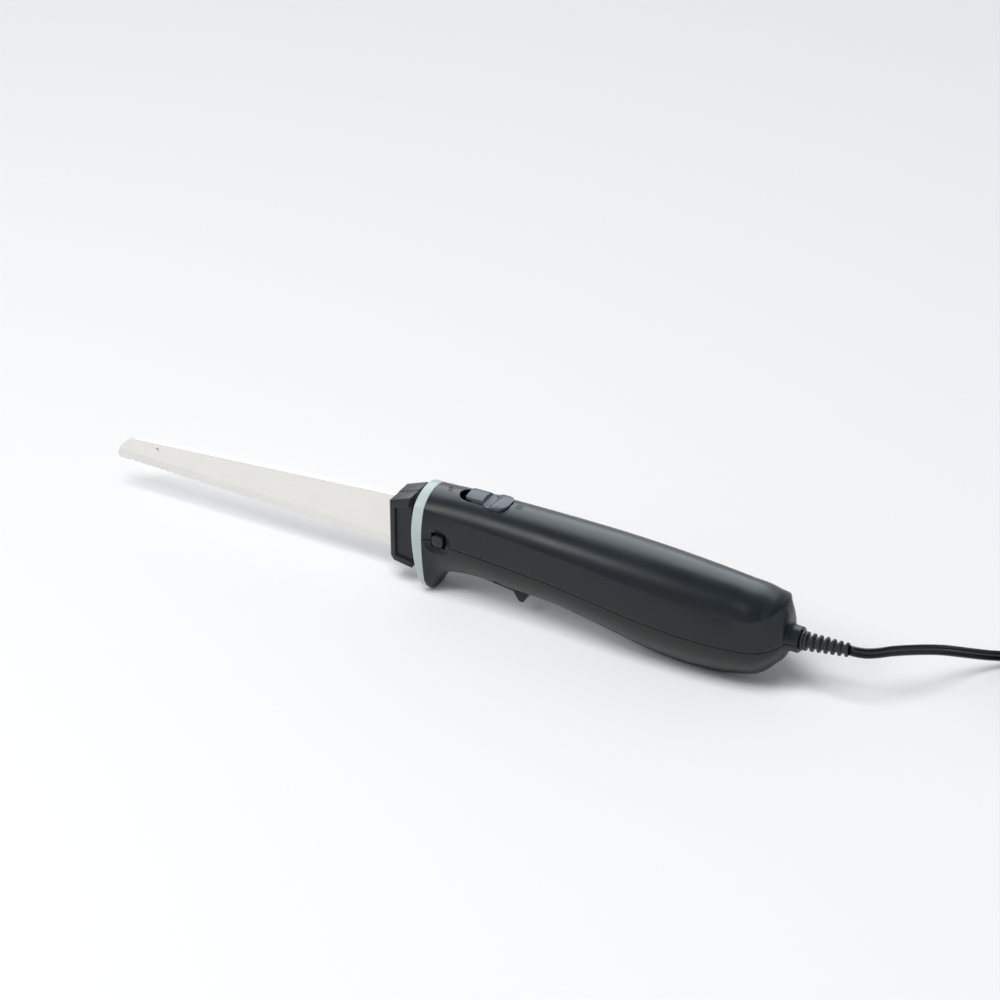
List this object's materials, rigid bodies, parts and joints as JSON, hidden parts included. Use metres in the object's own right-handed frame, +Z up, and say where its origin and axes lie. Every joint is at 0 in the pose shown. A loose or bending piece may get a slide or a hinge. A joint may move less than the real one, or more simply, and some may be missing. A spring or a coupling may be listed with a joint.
{
  "type": "electric carving knife",
  "caption": "Electric carving knife with paired scalloped blades, a dark moulded handle with slide lock, release buttons and trigger, and a flat mains cord with a plug.",
  "frame": {"origin": "on the floor under the middle of the knife, measured without its cord", "axes": "+X from the blades towards the cord, along the handle; +Z up; the picture's near side is -Y"},
  "size_m": [0.728, 0.143, 0.0724],
  "materials": {
    "upper_shell": "satin",
    "lower_shell": "matte",
    "grey_plastic": "matte",
    "guard_plastic": "satin",
    "slider_plastic": "satin",
    "white_plastic": "satin",
    "blade_steel": "satin",
    "spring_steel": "satin",
    "core_steel": "matte",
    "copper": "satin",
    "bronze": "satin",
    "carbon": "matte",
    "cord_rubber": "gloss"
  },
  "bodies": {
    "handle": {"upper_housing": "upper_shell", "lower_housing": "lower_shell", "front_collar": "grey_plastic", "blade_guide": "white_plastic", "near_button_spring": "spring_steel", "far_button_spring": "spring_steel", "gear_axle": "spring_steel", "gear_frame": "grey_plastic", "front_bush": "bronze", "stator_core": "core_steel", "field_coils": "copper", "bearing_bracket": "grey_plastic", "rear_bush": "bronze", "brush_holders": "bronze", "carbon_brushes": "carbon", "brush_springs": "spring_steel", "switch_body": "grey_plastic", "trigger_pin": "spring_steel", "trigger_spring": "spring_steel", "housing_screws": "spring_steel", "cord_clamp": "grey_plastic", "clamp_screws": "spring_steel", "inner_cord": "cord_rubber", "strain_relief": "cord_rubber", "mains_cord": "cord_rubber", "cord_coil": "cord_rubber", "coil_tie": "grey_plastic", "plug_body": "cord_rubber", "plug_prongs": "bronze"},
    "near_blade_set": {"near_blade": "blade_steel", "near_guard": "guard_plastic", "near_blade_holder": "white_plastic", "near_latch_spring": "spring_steel", "tip_rivet": "blade_steel"},
    "far_blade_set": {"far_blade": "blade_steel", "far_guard": "guard_plastic", "far_blade_holder": "white_plastic", "far_latch_spring": "spring_steel"},
    "armature": {"worm_shaft": "spring_steel", "armature_core": "core_steel", "armature_windings": "copper", "commutator": "copper", "cooling_fan": "slider_plastic"},
    "worm_wheel": {"drive_gear": "white_plastic"},
    "near_button": {"near_release_button": "slider_plastic"},
    "far_button": {"far_release_button": "slider_plastic"},
    "trigger_lever": {"trigger": "guard_plastic"},
    "plunger": {"switch_plunger": "white_plastic"},
    "lock": {"lock_slider": "slider_plastic"}
  },
  "joints": [
    {"name": "armature_spin", "type": "hinge", "parent": "handle", "child": "armature", "pos_m": [0.0755, 0, 0.033], "axis": [1, 0, 0], "range_deg": [-720, 720]},
    {"name": "worm_wheel_turn", "type": "hinge", "parent": "handle", "child": "worm_wheel", "pos_m": [0.0755, 0, 0.048], "axis": [0, 1, 0], "range_deg": [-60.1, 60.1]},
    {"name": "near_blade_stroke", "type": "slide", "parent": "handle", "child": "near_blade_set", "axis": [1, 0, 0], "range_m": [-0.00274, 0.00274]},
    {"name": "far_blade_stroke", "type": "slide", "parent": "handle", "child": "far_blade_set", "axis": [1, 0, 0], "range_m": [-0.00274, 0.00274]},
    {"name": "near_button_press", "type": "slide", "parent": "handle", "child": "near_button", "axis": [0, 1, 0], "range_m": [0, 0.0025], "stiffness_N_per_m": 600, "springref_m": -0.001, "deforming": ["near_button_spring"]},
    {"name": "far_button_press", "type": "slide", "parent": "handle", "child": "far_button", "axis": [0, -1, 0], "range_m": [0, 0.0025], "stiffness_N_per_m": 600, "springref_m": -0.001, "deforming": ["far_button_spring"]},
    {"name": "trigger_press", "type": "hinge", "parent": "handle", "child": "trigger_lever", "pos_m": [0.0225, 0, 0.021], "axis": [0, -1, 0], "range_deg": [0, 5], "stiffness_Nm_per_rad": 0.6, "springref_deg": -4.58, "deforming": ["trigger_spring"]},
    {"name": "switch_plunger_lift", "type": "slide", "parent": "handle", "child": "plunger", "axis": [0, 0, 1], "range_m": [0, 0.00132]},
    {"name": "lock_slide", "type": "slide", "parent": "handle", "child": "lock", "axis": [-1, 0, 0], "range_m": [0, 0.006]}
  ],
  "couplings": [
    {"joint": "worm_wheel_turn", "follows": "armature_spin", "ratio": 0.083333},
    {"joint": "near_blade_stroke", "follows": "armature_spin", "m_per_rad": 0.00021667},
    {"joint": "far_blade_stroke", "follows": "armature_spin", "m_per_rad": -0.00021667},
    {"joint": "switch_plunger_lift", "follows": "trigger_press", "m_per_rad": 0.015}
  ]
}
